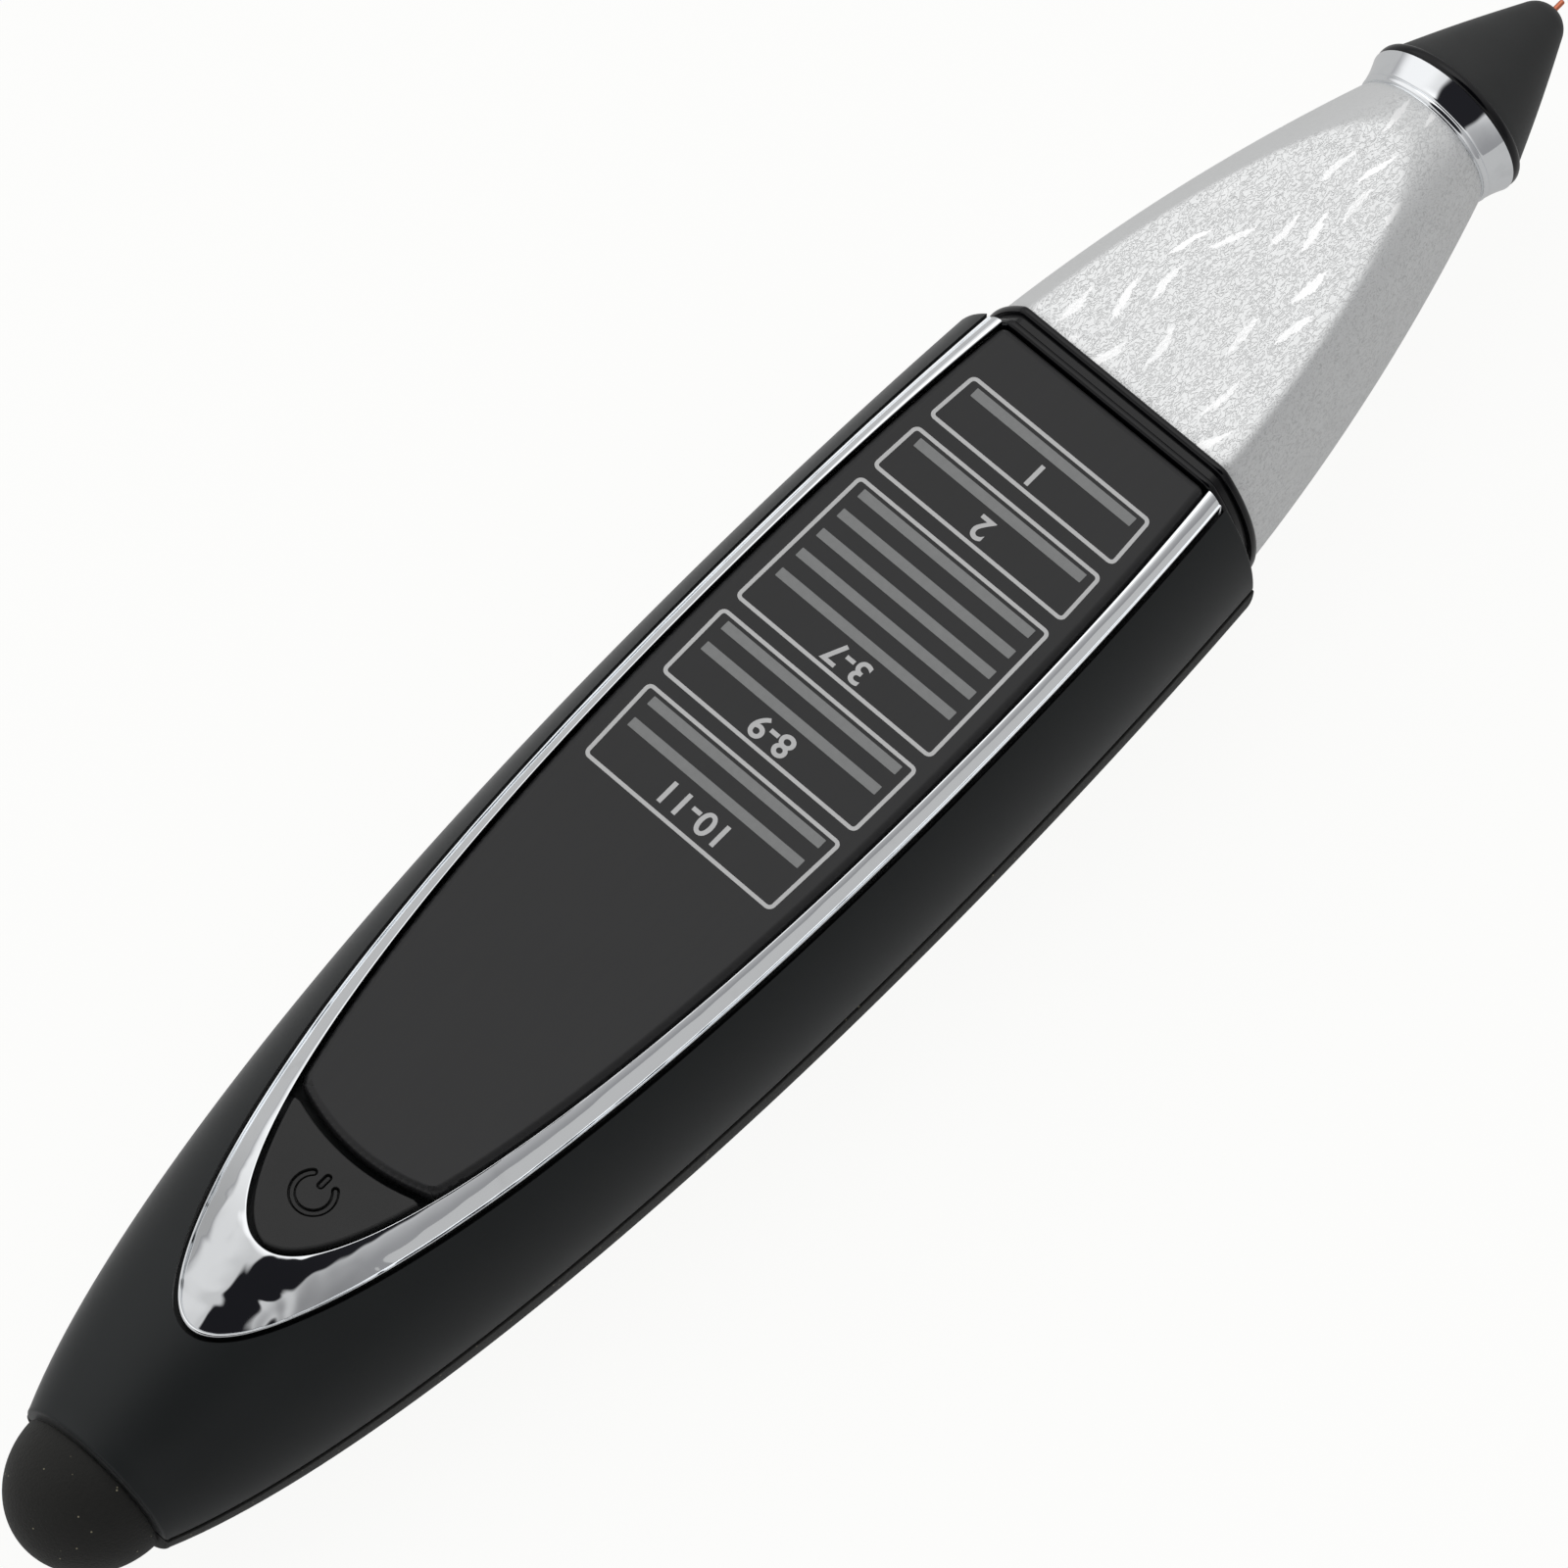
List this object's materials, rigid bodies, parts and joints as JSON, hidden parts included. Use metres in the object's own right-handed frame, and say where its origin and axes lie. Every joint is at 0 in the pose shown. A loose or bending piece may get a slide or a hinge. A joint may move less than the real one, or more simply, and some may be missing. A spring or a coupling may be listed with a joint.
{
  "type": "gem tester pen",
  "caption": "Pen-type gem tester: boat-shaped body with a bar-graph window and power button, silver nose, black cone with a sprung contact pin, and a pull-off tail cap.",
  "frame": {"origin": "centre of the bounding box's underside, on the plane that the body rests on", "axes": "+X along the pen towards the contact pin, +Z out of the display window, +Y to its left"},
  "size_m": [0.1688, 0.0322, 0.022],
  "materials": {
    "casing_soft": "satin soft-touch black",
    "casing_rubber": "grainy matt black",
    "trim_chrome": "mirror chrome",
    "panel_grey": "satin dark grey with light print",
    "button_grey": "matt dark grey",
    "diffuser": "milky",
    "light_pipe": "clear",
    "seal_black": "gloss black",
    "nose_silver": "satin silver with a fine hammered grain",
    "cone_black": "matt dark grey",
    "copper": "bright copper",
    "brass": "turned brass",
    "spring_steel": "bright wire",
    "plug_nylon": "natural nylon",
    "lead_red": "red insulation",
    "board_green": "solder mask green",
    "lamp_white": "milky white",
    "chip_black": "matt black",
    "contact_steel": "nickel plated",
    "screw_steel": "zinc plated",
    "cell_wrap": "plain blue-grey wrap"
  },
  "bodies": {
    "body": {"upper_casing": "casing_soft", "lower_casing": "casing_rubber", "trim_bezel": "trim_chrome", "display_panel": "panel_grey", "light_diffuser": "diffuser", "light_pipes": "light_pipe", "nose_gasket": "seal_black", "nose_shell": "nose_silver", "collar_ring": "trim_chrome", "cone_seal": "seal_black", "probe_cone": "cone_black", "probe_spring": "spring_steel", "probe_barrel": "brass", "barrel_plug": "plug_nylon", "probe_leads": "lead_red", "main_board": "board_green", "indicator_leds": "lamp_white", "controller_chip": "chip_black", "power_switch": "chip_black", "buzzer": "chip_black", "board_screws": "screw_steel", "usb_board": "board_green", "usb_socket": "contact_steel", "link_pins": "brass", "battery_cells": "cell_wrap", "battery_springs": "spring_steel", "contact_plates": "contact_steel", "casing_screws": "screw_steel"},
    "button": {"power_button": "button_grey", "switch_stem": "contact_steel"},
    "probe": {"probe_pin": "copper", "probe_plunger": "brass"},
    "cap": {"tail_cap": "casing_rubber"},
    "door": {"battery_door": "casing_rubber"}
  },
  "joints": [
    {"name": "button_press", "type": "slide", "parent": "body", "child": "button", "axis": [0, 0, -1], "range_m": [0, 0.0005], "stiffness_N_per_m": 2000},
    {"name": "pin_press", "type": "slide", "parent": "body", "child": "probe", "axis": [-1, 0, 0], "range_m": [0, 0.001], "stiffness_N_per_m": 600, "deforming": ["probe_spring"]},
    {"name": "cap_pull", "type": "slide", "parent": "body", "child": "cap", "axis": [-0.9998, 0, -0.0209], "range_m": [0, 0.01]},
    {"name": "door_lift", "type": "slide", "parent": "body", "child": "door", "axis": [0, 0, -1], "range_m": [0, 0.012]}
  ]
}
